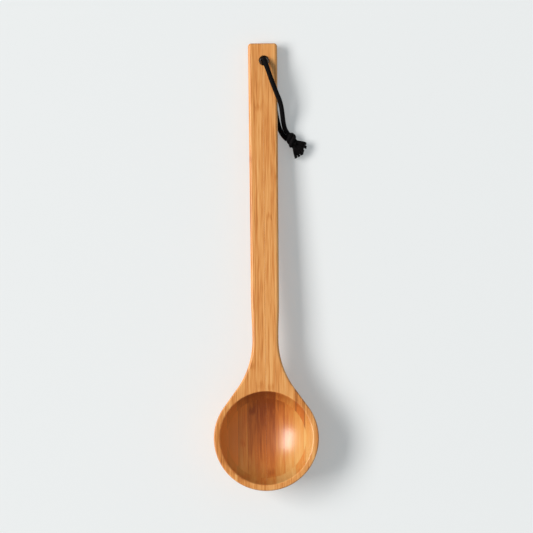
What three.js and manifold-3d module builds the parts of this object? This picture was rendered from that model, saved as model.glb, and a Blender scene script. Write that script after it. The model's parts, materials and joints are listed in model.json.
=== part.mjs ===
// Sauna ladle in laminated bamboo: a flat board that is both handle and ring, a turned bowl glued under
// the ring, and a knotted loop of braided cord through the end of the handle.
// Millimetres. The ladle is drawn level, with the bowl's axis on Z, the rim on the plane z = 0 and the
// handle along +Y. It is then tipped as it lies on a table: on the bowl's flat base and on its own cord.
import * as THREE from "three";
import { mergeVertices } from "three/addons/utils/BufferGeometryUtils.js";
import Module from "manifold-3d";

const wasm = await Module();
wasm.setup();

// Board
const OVERALL_LENGTH = 400;
const BOARD_THICKNESS = 8.5;
const TIP_WIDTH = 26.2;
const GRIP_WIDTH = 25;
const NECK_WIDTH = 23.3;
const GRIP_TAPER = 38;
const SHOULDER_RADIUS = 74;
const SHOULDER_START = THREE.MathUtils.degToRad(36);
const TIP_CORNER = 3;
const EDGE_ROUND = 2.5;

// Bowl
const RIM_RADIUS = 46.7;
const RIM_WIDTH = 5.3;
const RIM_INNER_ROUND = 1.2;
const RIM_UPRIGHT = 6;
const HOLLOW_DEPTH = 24.4;
const BOWL_FLOOR = 10.2;
const BASE_RADIUS = 20;

// Staves across half the rim in each layer, and how many of the board's the hollow cuts in two
const BOARD_STAVE_COUNT = 5.4;
const BOWL_STAVE_COUNT = 5.6;
const CUT_STAVE_COUNT = 4;

// Cord hole and cord
const HOLE_DIAMETER = 8.4;
const HOLE_FROM_TIP = 15.9;
const HOLE_OFFSET = 1.2;
const HOLE_EDGE = 0.8;
const CORD_DIAMETER = 4.2;
const KNOT_WIDTH = 9.6;
const KNOT_LENGTH = 14.2;
const UPPER_FRAY_LENGTH = 10.5;
const LOWER_FRAY_LENGTH = 9;
const FRAY_WIDTH = 9.5;
const FRAY_WHOLE = 1.5;
const FRAY_TIP = 1.6;

// Fits
const GLUE_LINE = 0.2;
const CORD_CLEARANCE = 0.3;

// Facets
const TURNED_SEGMENTS = 48;
const HOLLOW_RINGS = 9;
const OUTSIDE_RINGS = 6;
const HOLE_SEGMENTS = 16;
const RIM_STEPS = 20;
const SHOULDER_STEPS = 10;
const TAPER_STEPS = 6;
const CORNER_STEPS = 3;
const ROUND_STEPS = 3;
const CORD_SIDES = 8;
const WELD = 1e-4;

const BAMBOO_BOARD = { color: 0xd99b5d, roughness: 0.5, metalness: 0 };
const BAMBOO_BOWL = { color: 0xb8713a, roughness: 0.42, metalness: 0 };
const BLACK_CORD = { color: 0x131315, roughness: 0.9, metalness: 0 };

const tipY = OVERALL_LENGTH - RIM_RADIUS;
const holeY = tipY - HOLE_FROM_TIP;
const bowlHeight = HOLLOW_DEPTH + BOWL_FLOOR;
const hollowMouth = RIM_RADIUS - RIM_WIDTH;
const hollowRadius = (hollowMouth ** 2 + HOLLOW_DEPTH ** 2) / (2 * HOLLOW_DEPTH);
const hollowCentre = hollowRadius - HOLLOW_DEPTH;
const clearAll = 2 * OVERALL_LENGTH;

// Slope of the table under the level ladle: it passes under the bowl's axis at the bowl's height, and
// under the hole at one cord and its clearance below the board.
const cordRoom = CORD_DIAMETER + 2 * CORD_CLEARANCE;
const tableSlope = (bowlHeight - BOARD_THICKNESS - cordRoom) / holeY;

function tableHeight(y) {
  return tableSlope * y - bowlHeight;
}

function solidFrom(geometry) {
  const bare = geometry.clone();
  bare.deleteAttribute("normal");
  bare.deleteAttribute("uv");
  const welded = mergeVertices(bare, WELD);
  const mesh = new wasm.Mesh({
    numProp: 3,
    vertProperties: new Float32Array(welded.attributes.position.array),
    triVerts: new Uint32Array(welded.index.array),
  });
  return new wasm.Manifold(mesh);
}

function geometryFrom(solid) {
  const mesh = solid.getMesh();
  const geometry = new THREE.BufferGeometry();
  geometry.setAttribute("position", new THREE.BufferAttribute(mesh.vertProperties, mesh.numProp));
  geometry.setIndex(new THREE.BufferAttribute(mesh.triVerts, 1));
  geometry.computeVertexNormals();
  return geometry;
}

function meshFrom(name, geometry, look) {
  const mesh = new THREE.Mesh(geometry, new THREE.MeshStandardMaterial(look));
  mesh.name = name;
  return mesh;
}

function turned(profile, segments) {
  return solidFrom(new THREE.LatheGeometry(profile, segments).rotateX(Math.PI / 2));
}

function block(low, high) {
  const size = high.clone().sub(low);
  const middle = low.clone().add(high).multiplyScalar(0.5);
  return solidFrom(new THREE.BoxGeometry(...size.toArray()).translate(...middle.toArray()));
}

// Outside radius of the turned bowl at a height: upright below the rim, then drawn in to the base.
function outsideRadius(z) {
  const drop = Math.max(0, -z - RIM_UPRIGHT) / (bowlHeight - RIM_UPRIGHT);
  return BASE_RADIUS + (RIM_RADIUS - BASE_RADIUS) * (1 - drop ** 2);
}

// Right half of the board's outline, from the far rim to the tip. The shoulder leaves the rim on a tangent
// and sweeps into the neck on a hollow curve.
function halfOutline() {
  const neck = NECK_WIDTH / 2;
  const grip = GRIP_WIDTH / 2;
  const tip = TIP_WIDTH / 2;
  const quarter = Math.PI / 2;
  const reach = neck + SHOULDER_RADIUS;
  const rimAndShoulder = RIM_RADIUS + SHOULDER_RADIUS;
  const neckY = (rimAndShoulder - reach * Math.cos(SHOULDER_START)) / Math.sin(SHOULDER_START);
  const taperMiddle = neckY + GRIP_TAPER / 2;
  const rim = new THREE.EllipseCurve(0, 0, RIM_RADIUS, RIM_RADIUS, -quarter, SHOULDER_START);
  const shoulder = new THREE.EllipseCurve(
    reach, neckY, SHOULDER_RADIUS, SHOULDER_RADIUS, Math.PI + SHOULDER_START, Math.PI, true);
  const taper = new THREE.CubicBezierCurve(
    new THREE.Vector2(neck, neckY),
    new THREE.Vector2(neck, taperMiddle),
    new THREE.Vector2(grip, taperMiddle),
    new THREE.Vector2(grip, neckY + GRIP_TAPER));
  const corner = new THREE.EllipseCurve(
    tip - TIP_CORNER, tipY - TIP_CORNER, TIP_CORNER, TIP_CORNER, 0, quarter);
  const points = [
    ...rim.getPoints(RIM_STEPS),
    ...shoulder.getPoints(SHOULDER_STEPS),
    ...taper.getPoints(TAPER_STEPS).slice(1),
    ...corner.getPoints(CORNER_STEPS),
  ];
  return { points, joinY: RIM_RADIUS * Math.sin(SHOULDER_START), neckY };
}

// The uncut board: rings of the outline, drawn in at the top edge, and at the bottom edge either rounded
// on the handle or carried on into the bowl's outside under the rim.
function boardBlank() {
  const { points, joinY, neckY } = halfOutline();
  const left = points.slice(1).reverse().map((p) => new THREE.Vector2(-p.x, p.y));
  const outline = [...points, ...left];
  const count = outline.length;
  const inward = outline.map((point, i) => {
    const along = outline[(i + 1) % count].clone().sub(outline[(i + count - 1) % count]).normalize();
    return new THREE.Vector2(-along.y, along.x);
  });
  const levels = [];
  for (let i = 0; i <= ROUND_STEPS; i += 1) {
    const turn = (i / ROUND_STEPS) * (Math.PI / 2);
    const drawnIn = EDGE_ROUND * (1 - Math.sin(turn));
    const drop = EDGE_ROUND * (1 - Math.cos(turn));
    levels.push({ z: -drop, handle: drawnIn, rim: drawnIn });
    const low = drop - BOARD_THICKNESS;
    levels.push({ z: low, handle: drawnIn, rim: RIM_RADIUS - outsideRadius(low) });
  }
  levels.sort((a, b) => a.z - b.z);
  const corners = [];
  for (const level of levels) {
    outline.forEach((point, i) => {
      const handleShare = THREE.MathUtils.smoothstep(point.y, joinY, neckY);
      const inset = THREE.MathUtils.lerp(level.rim, level.handle, handleShare);
      corners.push(point.x + inward[i].x * inset, point.y + inward[i].y * inset, level.z);
    });
  }
  const faces = [];
  for (let ring = 0; ring < levels.length - 1; ring += 1) {
    for (let i = 0; i < count; i += 1) {
      const next = (i + 1) % count;
      const low = ring * count;
      const high = low + count;
      faces.push(low + i, low + next, high + next, low + i, high + next, high + i);
    }
  }
  const top = (levels.length - 1) * count;
  for (const [a, b, c] of THREE.ShapeUtils.triangulateShape(outline, [])) {
    faces.push(a, c, b, top + a, top + b, top + c);
  }
  const geometry = new THREE.BufferGeometry();
  geometry.setAttribute("position", new THREE.Float32BufferAttribute(corners, 3));
  geometry.setIndex(faces);
  return solidFrom(geometry);
}

// The space inside the bowl: a ball's cap, with the rim's inner edge eased.
function hollow() {
  const low = -RIM_INNER_ROUND;
  const mouth = Math.asin((low - hollowCentre) / hollowRadius);
  const ball = new THREE.EllipseCurve(0, hollowCentre, hollowRadius, hollowRadius, -Math.PI / 2, mouth);
  const wall = hollowRadius * Math.cos(mouth);
  const eased = new THREE.QuadraticBezierCurve(
    new THREE.Vector2(wall, low),
    new THREE.Vector2(hollowMouth, 0),
    new THREE.Vector2(hollowMouth + RIM_INNER_ROUND, 0));
  const profile = [
    ...ball.getPoints(HOLLOW_RINGS),
    ...eased.getPoints(ROUND_STEPS).slice(1),
    new THREE.Vector2(hollowMouth + RIM_INNER_ROUND, bowlHeight),
    new THREE.Vector2(0, bowlHeight),
  ];
  profile[0].x = 0;
  return turned(profile, TURNED_SEGMENTS);
}

function cordHole() {
  const radius = HOLE_DIAMETER / 2;
  const wide = radius + HOLE_EDGE;
  const profile = [
    new THREE.Vector2(0, -bowlHeight),
    new THREE.Vector2(wide, -bowlHeight),
    new THREE.Vector2(wide, -BOARD_THICKNESS),
    new THREE.Vector2(radius, HOLE_EDGE - BOARD_THICKNESS),
    new THREE.Vector2(radius, -HOLE_EDGE),
    new THREE.Vector2(wide, 0),
    new THREE.Vector2(wide, bowlHeight),
    new THREE.Vector2(0, bowlHeight),
  ];
  return turned(profile, HOLE_SEGMENTS).translate([HOLE_OFFSET, holeY, 0]);
}

// Seams of a layer of staves, from the middle outwards, on one side.
function seams(staves) {
  return Array.from({ length: Math.ceil(staves) }, (_, i) => (i * RIM_RADIUS) / staves);
}

// A slab as wide as one stave, between two seams, on the left (-1) or the right (1).
function slab(side, from, to, lowY, highY) {
  const inner = side * (from + GLUE_LINE / 2);
  const outer = side * (to - GLUE_LINE / 2);
  return block(
    new THREE.Vector3(Math.min(inner, outer), lowY, -clearAll),
    new THREE.Vector3(Math.max(inner, outer), highY, clearAll));
}

const sides = [
  { name: "left", sign: -1 },
  { name: "right", sign: 1 },
];

// The board. Inside the ring the hollow cuts each stave in two, which leaves a piece towards the handle and
// a short one in the far rim. The staves at the ring's sides pass beside the hollow in one piece.
function board(space) {
  const cut = boardBlank().subtract(space).subtract(cordHole());
  const lines = seams(BOARD_STAVE_COUNT);
  const group = new THREE.Group();
  const add = (name, solid) => group.add(meshFrom(name, geometryFrom(solid), BAMBOO_BOARD));
  for (const { name, sign } of sides) {
    lines.forEach((from, i) => {
      const to = lines[i + 1] ?? clearAll;
      const place = `${name}_${i + 1}`;
      if (i >= CUT_STAVE_COUNT) {
        add(`rim_side_${place}`, cut.intersect(slab(sign, from, to, -clearAll, clearAll)));
        return;
      }
      const part = from < GRIP_WIDTH / 2 ? "handle_stave" : "shoulder_stave";
      add(`${part}_${place}`, cut.intersect(slab(sign, from, to, GLUE_LINE / 2, clearAll)));
      add(`far_rim_${place}`, cut.intersect(slab(sign, from, to, -clearAll, -GLUE_LINE / 2)));
    });
  }
  return group;
}

// The bowl block under the ring, cut flat where it stands on the table.
function bowl(space) {
  const top = -BOARD_THICKNESS - GLUE_LINE;
  const bottom = tableHeight(-RIM_RADIUS);
  const profile = [new THREE.Vector2(0, bottom)];
  for (let i = OUTSIDE_RINGS; i >= 0; i -= 1) {
    const z = THREE.MathUtils.lerp(top, bottom, i / OUTSIDE_RINGS);
    profile.push(new THREE.Vector2(outsideRadius(z), z));
  }
  profile.push(new THREE.Vector2(0, top));
  const under = new THREE.BoxGeometry(clearAll, clearAll, clearAll);
  under.translate(0, 0, -clearAll / 2);
  under.rotateX(Math.atan(tableSlope));
  under.translate(0, 0, -bowlHeight);
  const cut = turned(profile, TURNED_SEGMENTS).subtract(space).subtract(solidFrom(under));
  const lines = seams(BOWL_STAVE_COUNT);
  const group = new THREE.Group();
  for (const { name, sign } of sides) {
    lines.forEach((from, i) => {
      const to = lines[i + 1] ?? clearAll;
      const stave = cut.intersect(slab(sign, from, to, -clearAll, clearAll));
      group.add(meshFrom(`bowl_stave_${name}_${i + 1}`, geometryFrom(stave), BAMBOO_BOWL));
    });
  }
  return group;
}

// Route of the front strand, from the middle of the hole up and over the right edge to the knot, measured
// from the hole's mouth in the board's top face.
const FRONT_ROUTE = [
  [-0.4, 1.4, -4.1],
  [-0.5, 1.6, -2.0],
  [-0.3, 1.3, 1.2],
  [0.6, -1.2, 4.6],
  [2.1, -5.6, 6.2],
  [4.3, -11.8, 6.0],
  [6.7, -18.8, 4.9],
  [9.3, -25.6, 3.4],
  [11.6, -31.4, 2.2],
  [13.6, -36.4, 1.0],
  [15.1, -42.2, -1.2],
  [16.0, -48.8, -4.4],
  [16.9, -55.4, -8.0],
  [18.2, -60.6, -10.4],
  [20.1, -63.9, -11.9],
  [22.0, -66.2, -12.5],
];

// Route of the back strand, from the middle of the hole down and under the board, along the table to the
// knot, measured from the hole's mouth in the board's underside.
const BACK_ROUTE = [
  [-0.4, 1.4, 4.1],
  [-0.4, 1.3, 2.7],
  [0.0, 0.2, 0.6],
  [0.7, -2.3, -1.9],
  [1.9, -6.6, -2.75],
  [4.4, -16.6, -3.45],
  [7.2, -29.0, -4.2],
  [9.6, -42.0, -5.05],
  [11.6, -53.0, -5.75],
  [13.8, -60.8, -6.2],
  [16.8, -66.2, -6.5],
  [20.0, -69.6, -6.65],
];

const KNOT_CENTRE = [24.2, -70.4];
const KNOT_HEADING = [0.3, -0.954];
const UPPER_FRAY = { from: [28.2, -73.2], heading: [0.98, -0.17], length: UPPER_FRAY_LENGTH };
const LOWER_FRAY = { from: [27.1, -77.8], heading: [0.5, -0.866], length: LOWER_FRAY_LENGTH };

function routeCurve(route, mouthZ) {
  const mouth = new THREE.Vector3(HOLE_OFFSET, holeY, mouthZ);
  const points = route.map((offset) => new THREE.Vector3(...offset).add(mouth));
  return new THREE.CatmullRomCurve3(points, false, "centripetal");
}

function strand(curve, diameter) {
  const radius = diameter / 2;
  const section = new THREE.Shape();
  for (let i = 0; i < CORD_SIDES; i += 1) {
    const turn = (i / CORD_SIDES) * 2 * Math.PI;
    const x = radius * Math.cos(turn);
    const y = radius * Math.sin(turn);
    if (i === 0) {
      section.moveTo(x, y);
    } else {
      section.lineTo(x, y);
    }
  }
  const steps = Math.ceil(curve.getLength() / CORD_DIAMETER);
  return solidFrom(new THREE.ExtrudeGeometry(section, { steps, extrudePath: curve }));
}

// A place on the table, measured from the hole, with a height above the table.
function onTable([x, y], height) {
  const placeY = holeY + y;
  return new THREE.Vector3(HOLE_OFFSET + x, placeY, tableHeight(placeY) + height);
}

// The overhand knot: a core with two crossing turns of the doubled cord round it. A margin makes it larger
// all round, to cut the seats of what meets it.
function knotBody(margin) {
  const cord = CORD_DIAMETER / 2 + margin;
  const turnRadius = (KNOT_WIDTH - CORD_DIAMETER) / 2;
  const halfLength = KNOT_LENGTH / 2 + margin;
  const lean = Math.atan2(KNOT_LENGTH - CORD_DIAMETER, 4 * turnRadius);
  const core = new THREE.SphereGeometry(1, 2 * CORD_SIDES, CORD_SIDES);
  core.scale(turnRadius + margin, halfLength, turnRadius + margin);
  let body = solidFrom(core);
  for (const side of [-1, 1]) {
    const turn = new THREE.TorusGeometry(turnRadius, cord, CORD_SIDES, 2 * CORD_SIDES);
    turn.rotateX(Math.PI / 2);
    turn.rotateZ(side * lean);
    body = body.add(solidFrom(turn));
  }
  const heading = Math.atan2(KNOT_HEADING[1], KNOT_HEADING[0]) - Math.PI / 2;
  const centre = onTable(KNOT_CENTRE, KNOT_WIDTH / 2 + CORD_CLEARANCE);
  return body.rotate([0, 0, THREE.MathUtils.radToDeg(heading)]).translate(centre.toArray());
}

// A frayed end: whole cord at the knot, spreading to a tuft.
function fray({ from, heading, length }) {
  const cord = CORD_DIAMETER / 2;
  const profile = [
    new THREE.Vector2(0, 0),
    new THREE.Vector2(cord, 0),
    new THREE.Vector2(cord, FRAY_WHOLE),
    new THREE.Vector2(FRAY_WIDTH / 2, length - FRAY_TIP),
    new THREE.Vector2(cord, length),
    new THREE.Vector2(0, length),
  ];
  const tuft = new THREE.LatheGeometry(profile, 2 * CORD_SIDES);
  tuft.rotateZ(Math.atan2(heading[1], heading[0]) - Math.PI / 2);
  tuft.translate(...onTable(from, FRAY_WIDTH / 2 + CORD_CLEARANCE).toArray());
  return solidFrom(tuft).subtract(knotBody(CORD_CLEARANCE));
}

// The cord loop: two strands from the hole to the knot, the knot cut to receive them, and its two ends.
function cordLoop() {
  const front = routeCurve(FRONT_ROUTE, 0);
  const back = routeCurve(BACK_ROUTE, -BOARD_THICKNESS);
  const seat = CORD_DIAMETER + 2 * CORD_CLEARANCE;
  const knot = knotBody(0).subtract(strand(front, seat)).subtract(strand(back, seat));
  const group = new THREE.Group();
  group.add(meshFrom("cord_front_strand", geometryFrom(strand(front, CORD_DIAMETER)), BLACK_CORD));
  group.add(meshFrom("cord_back_strand", geometryFrom(strand(back, CORD_DIAMETER)), BLACK_CORD));
  group.add(meshFrom("cord_knot", geometryFrom(knot), BLACK_CORD));
  group.add(meshFrom("cord_end_upper", geometryFrom(fray(UPPER_FRAY)), BLACK_CORD));
  group.add(meshFrom("cord_end_lower", geometryFrom(fray(LOWER_FRAY)), BLACK_CORD));
  return group;
}

const space = hollow();
const ladle = new THREE.Group();
ladle.add(board(space), bowl(space));
ladle.rotation.x = -Math.atan(tableSlope);
ladle.updateMatrixWorld(true);

// The origin is on the table under the middle of the wood.
const extent = new THREE.Box3().setFromObject(ladle, true);
const middle = extent.getCenter(new THREE.Vector3());
ladle.position.set(-middle.x, -middle.y, -extent.min.z);
ladle.add(cordLoop());

const saunaLadle = new THREE.Group();
saunaLadle.name = "sauna_ladle";
saunaLadle.add(ladle);

export default saunaLadle;
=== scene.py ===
"""Sauna ladle of laminated bamboo with a knotted loop of braided cord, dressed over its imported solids.

Metres throughout. The wood and the cord are drawn on the level ladle, with the bowl's axis on Z, the rim on
the plane z = 0 and the handle along +Y, and are then tipped into the frame, where the ladle lies on a table.
"""
import json
import math
import random

import bmesh
import bpy
import numpy as np
from mathutils import Matrix, Vector


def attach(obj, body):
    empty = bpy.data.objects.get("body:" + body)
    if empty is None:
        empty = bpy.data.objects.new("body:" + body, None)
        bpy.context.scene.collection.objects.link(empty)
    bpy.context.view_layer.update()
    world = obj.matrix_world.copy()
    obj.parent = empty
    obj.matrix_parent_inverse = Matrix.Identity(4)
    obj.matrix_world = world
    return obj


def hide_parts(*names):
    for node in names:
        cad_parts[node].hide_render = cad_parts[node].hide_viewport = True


bl_info = {
    "name": "Sauna ladle",
    "version": (1, 0, 0),
    "blender": (4, 5, 0),
    "location": "View3D > Sidebar > Ladle",
    "description": "Laminated bamboo sauna ladle with a knotted cord loop",
    "category": "Add Mesh",
}

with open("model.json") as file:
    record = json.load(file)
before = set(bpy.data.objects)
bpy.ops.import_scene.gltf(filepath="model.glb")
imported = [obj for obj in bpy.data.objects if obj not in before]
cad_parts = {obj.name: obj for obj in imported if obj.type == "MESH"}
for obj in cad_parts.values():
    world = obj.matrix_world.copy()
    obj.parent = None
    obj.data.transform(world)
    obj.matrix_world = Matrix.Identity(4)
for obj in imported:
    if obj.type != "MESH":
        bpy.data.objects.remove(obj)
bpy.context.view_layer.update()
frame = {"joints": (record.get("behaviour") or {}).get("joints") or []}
SWING = frame["joints"][0]
QUARTER = math.pi / 2
SIDES = (("left", -1), ("right", 1))
UP = np.array((0.0, 0.0, 1.0))

# Fineness of the wood's meshes
TURNED_SEGMENTS = 240
HOLLOW_RINGS = 56
OUTSIDE_RINGS = 40
HOLE_SEGMENTS = 64
RIM_STEPS = 150
SHOULDER_STEPS = 60
TAPER_STEPS = 24
CORNER_STEPS = 10
ROUND_STEPS = 8
BASE_STEPS = 4
WOOD_SHARP_ANGLE = math.radians(35)

# Fineness of the cord's meshes
CURVE_STEPS = 24
ROUTE_STEP = 0.0002
BRAID_STEPS = 64
CORE_SIDES = 12
YARN_SIDES = 6
YARN_SHARP_ANGLE = math.radians(80)
KNOT_STEPS = 96
FRAY_BRAID_STEPS = 23
FILAMENT_STEPS = 8
FILAMENT_SIDES = 5

# Numbers of staves across half the rim in the board and in the bowl, the number of board staves that the
# hollow cuts, and the gap between staves
BOARD_STAVES = 5.4
BOWL_STAVES = 5.6
STAVES_CUT = 4
STAVE_GAP = 0.00002

# How far apart the grain of neighbouring staves lies in the noise, and where that of the bowl starts
BOARD_GRAIN_STEP = 3.7
BOWL_GRAIN_STEP = 2.9
BOWL_GRAIN_START = 50.0

# For each stave, from the middle outwards: its tone outside the hollow, its tone and red tint inside it, and
# the places of the bamboo's own knots along it. Inside the hollow the tone and red tint are partly the
# strip's own colour and partly painted shade, with red bounce light on the hollow's shaded left side
BOARD_STRIPS = {
    "left": (
        (-0.02, -0.27, 0.00, (0.0465, 0.2950)),
        (-0.02, -0.25, 0.05, (0.2490, 0.0650)),
        (0.02, -0.12, 0.10, (0.0670, -0.0350)),
        (0.00, 0.02, 0.50, (0.1200, -0.0300)),
        (-0.12, 0.16, 0.75, (0.0900, -0.0200)),
        (-0.16, 0.16, 0.75, (0.0900, -0.0500)),
    ),
    "right": (
        (0.02, -0.25, 0.00, (0.1970, 0.0455)),
        (0.03, 0.06, 0.00, (0.2320, -0.0410)),
        (0.04, 0.10, 0.00, (0.1100, -0.0380)),
        (-0.22, -0.10, 0.05, (0.0900, -0.0300)),
        (0.04, 0.20, 0.00, (0.0600, -0.0300)),
        (-0.10, 0.20, 0.00, (0.0120, -0.0500)),
    ),
}
FAR_RIM_STRIPS = {
    "left": (
        (-0.03, -0.32, 0.05, (0.0465, -0.0600)),
        (-0.08, -0.26, 0.00, (0.2490, -0.0420)),
        (-0.10, -0.15, 0.10, (0.0670, -0.0350)),
        (0.04, -0.02, 0.40, (0.1200, -0.0300)),
    ),
    "right": (
        (0.04, -0.22, 0.05, (0.1970, -0.0600)),
        (0.03, 0.10, 0.00, (0.2320, -0.0600)),
        (0.06, 0.09, 0.00, (0.1100, -0.0380)),
        (-0.02, -0.14, 0.05, (0.0900, -0.0300)),
    ),
}
BOWL_STRIPS = {
    "left": (
        (-0.02, -0.32, 0.00, (0.0700, -0.0600)),
        (0.03, -0.25, 0.00, (0.0245, -0.0700)),
        (-0.04, 0.00, 0.25, (-0.0045, 0.0700)),
        (0.02, 0.10, 0.65, (0.0600, -0.0600)),
        (-0.02, 0.22, 0.80, (0.0500, -0.0600)),
        (0.03, 0.22, 0.80, (0.0500, -0.0500)),
    ),
    "right": (
        (0.02, -0.32, 0.00, (-0.0300, 0.0700)),
        (-0.03, -0.14, 0.00, (0.0650, -0.0600)),
        (0.04, 0.01, 0.00, (0.0600, -0.0650)),
        (-0.02, 0.14, 0.00, (0.0600, -0.0600)),
        (0.02, 0.26, 0.00, (0.0500, -0.0500)),
        (-0.04, 0.28, 0.00, (0.0500, -0.0500)),
    ),
}

# The one stave with dark edges, how far from its seams they fade in, and how dark they are outside the hollow
# and inside it
DARK_EDGED = "shoulder_stave_right_4"
DARK_EDGE_BAND = (0.0015, 0.0003)
DARK_EDGE_STRENGTHS = (0.55, 0.85)

# Scales of each pattern of the grain across, along and through the wood, with its contrast outside the hollow
# and inside it
GRAIN = {
    "broad": ((230.0, 5.0, 40.0), 0.40, 0.30),
    "streaks": ((620.0, 12.0, 70.0), 0.95, 0.40),
    "fibres": ((1300.0, 48.0, 140.0), 1.10, 0.45),
}

# Detail of the noise in fine patterns and in smooth ones
FINE_DETAIL = 2.0
SMOOTH_DETAIL = 1.0

# How far the fibres wander from straight, with the scale of that, and the scale of the ripple that bends them
# at the bamboo's own knots
WANDER = 0.0005
WANDER_SCALE = (60.0, 14.0, 20.0)
RIPPLE_SCALE = (420.0, 90.0, 60.0)

# The bamboo's own knots: half their length, how far the ripple bends them, how far from the seams they fade
# in, how far they push the fibres aside, the ripple at which they leave them, and their change of shade
WOOD_KNOT_HALF_LENGTH = 0.005
WOOD_KNOT_BEND = 0.008
WOOD_KNOT_INSET = (0.0002, 0.0026)
WOOD_KNOT_BULGE = 0.003
WOOD_KNOT_BULGE_NONE = 0.4
WOOD_KNOT_SHADE = -0.14

# Glue lines: how far from a seam they fade in, the scale and the range of the noise that makes them uneven,
# and their least and added strength
SEAM_BAND = (0.00025, 0.00003)
SEAM_SCALE = (30.0, 14.0, 30.0)
SEAM_PATCHES = (0.3, 0.8)
SEAM_LEAST = 0.12
SEAM_ADDED = 0.35

# Distances outside the ball of the hollow between which its gloss and its darker colour, partly painted
# shade, fade in, places of a palette's four colours, and how far a face turns along the handle for end grain
# to show, and how strongly
HOLLOW_BAND = (0.0006, 0.0001)
PALETTE_PLACES = (0.0, 0.32, 0.55, 1.0)
END_GRAIN_TURN = (0.40, 1.0)
END_GRAIN_STRENGTH = 0.3

# Surfaces: relief, roughness with what the finest pattern adds to it, and how mirror-like they are
BAMBOO_RELIEF = {"Strength": 0.10, "Distance": 0.0002}
BAMBOO_ROUGHNESS = 0.40
BAMBOO_ROUGHNESS_ADDED = 0.15
BAMBOO_SPECULAR = 0.2
COAT_IOR = 1.55
YARN_RELIEF = {"Strength": 0.5, "Distance": 0.0002}
YARN_ROUGHNESS = 0.62
YARN_ROUGHNESS_ADDED = 0.2
YARN_SPECULAR = 0.05
PAPER_ROUGHNESS = 0.9

# Patterns of the yarn: broad patches and how much they count, fine filaments and where they lie in the noise,
# and the part of their sum over which the yarn turns paler
PATCH_SCALE = (900.0, 900.0, 900.0)
PATCH_SHARE = 0.5
FILAMENT_SCALE = (5200.0, 5200.0, 5200.0)
FILAMENT_SHIFT = 2.0
WORN_BAND = (0.55, 1.05)

# Painted shadow on the floor under the cord hole: where the dark spot fades out, in hole diameters, and its
# share of the floor's colour
HOLE_SHADOW_SPOT = (0.35, 0.72)
HOLE_SHADOW_TONE = 0.25

# Route of the front strand, from the middle of the hole up and over the right edge to the knot, measured from
# the hole's mouth in the board's top face
FRONT_ROUTE = (
    (-0.0004, 0.0014, -0.0041),
    (-0.0005, 0.0016, -0.0020),
    (-0.0003, 0.0013, 0.0012),
    (0.0006, -0.0012, 0.0046),
    (0.0021, -0.0056, 0.0062),
    (0.0043, -0.0118, 0.0060),
    (0.0067, -0.0188, 0.0049),
    (0.0093, -0.0256, 0.0034),
    (0.0116, -0.0314, 0.0022),
    (0.0136, -0.0364, 0.0010),
    (0.0151, -0.0422, -0.0012),
    (0.0160, -0.0488, -0.0044),
    (0.0169, -0.0554, -0.0080),
    (0.0182, -0.0606, -0.0104),
    (0.0201, -0.0639, -0.0119),
    (0.0220, -0.0662, -0.0125),
)

# Route of the back strand, from the middle of the hole down and under the board, along the table to the knot,
# measured from the hole's mouth in the board's underside
BACK_ROUTE = (
    (-0.0004, 0.0014, 0.0041),
    (-0.0004, 0.0013, 0.0027),
    (0.0000, 0.0002, 0.0006),
    (0.0007, -0.0023, -0.0019),
    (0.0019, -0.0066, -0.00275),
    (0.0044, -0.0166, -0.00345),
    (0.0072, -0.0290, -0.0042),
    (0.0096, -0.0420, -0.00505),
    (0.0116, -0.0530, -0.00575),
    (0.0138, -0.0608, -0.0062),
    (0.0168, -0.0662, -0.0065),
    (0.0200, -0.0696, -0.00665),
)

# Places on the table, measured from the hole, and headings of the knot and of the two frayed ends, with the
# length of each frayed end, the two edges of its fan in degrees to the left of its heading, and its seed
KNOT_CENTRE = (0.0242, -0.0704)
KNOT_HEADING = (0.3, -0.954)
FRAYS = {
    "upper": {
        "start": (0.0282, -0.0732),
        "heading": (0.98, -0.17),
        "length": 0.0105,
        "fan": (-33, -4),
        "seed": 11,
    },
    "lower": {
        "start": (0.0271, -0.0778),
        "heading": (0.5, -0.866),
        "length": 0.0090,
        "fan": (-14, 30),
        "seed": 5,
    },
}

# Strands that show in the knot, their thickness against the cord's, the turns that each makes and how far
# their ends draw in
KNOT_STRANDS = 3
KNOT_STRAND_SHARE = 0.95
KNOT_TURNS = -0.65
KNOT_DRAWN_IN = 0.55

# Where the braid of a frayed end starts and stops, in shares of its length
FRAY_BRAID = (-0.25, 0.15)

# Tufts across each frayed end and in its height, and filaments in each
TUFTS_ACROSS = 4
TUFT_LAYERS = (-1.0, -0.4, 0.2, 0.8)
FILAMENTS = 20

# How far the tufts' roots lie apart across and in height, in cord diameters, and how far a layer's tips are
# lifted, in widths of the frayed end
ROOTS_ACROSS = 0.4
ROOTS_IN_HEIGHT = 0.33
TIP_LIFT = 0.2

# How much the tufts vary: their direction in radians, their length from place to place and from layer to
# layer, and their lift
TUFT_SWING = 0.06
TUFT_LENGTHS = (0.80, 1.02)
LAYER_LENGTHS = (0.90, 1.0)
LIFT_VARIES = 0.2

# Half thickness of a filament at its root and at its tip, how much its length and its spread vary, and how
# far it is spread at the root, halfway and at the tip
FILAMENT_HALF_THICK = (0.00026, 0.00018)
FILAMENT_LENGTHS = (0.95, 1.0)
SPREAD_VARIES = (0.1, 1.0)
SPREAD_AT_ROOT = 0.0006
SPREAD_HALFWAY = 0.0013
SPREAD_AT_TIP = 0.0012

# Braid of the cord: yarns each way, their pitch in cord diameters, and the share of the cord's radius that
# each of a yarn's dimensions takes
YARNS = 8
BRAID_PITCH = 3.6
YARN_MIDDLE = 0.80
YARN_WEAVE = 0.08
YARN_HALF_WIDTH = 0.34
YARN_HALF_THICK = 0.17

# Sine of the slant from upright below which a line counts as upright
UPRIGHT_SLANT = 0.1

# Angles of the shoulder and of the key light
SHOULDER_START = math.radians(36)
KEY_ELEVATION = math.radians(41.4)
KEY_BEARING = math.radians(7)


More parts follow.
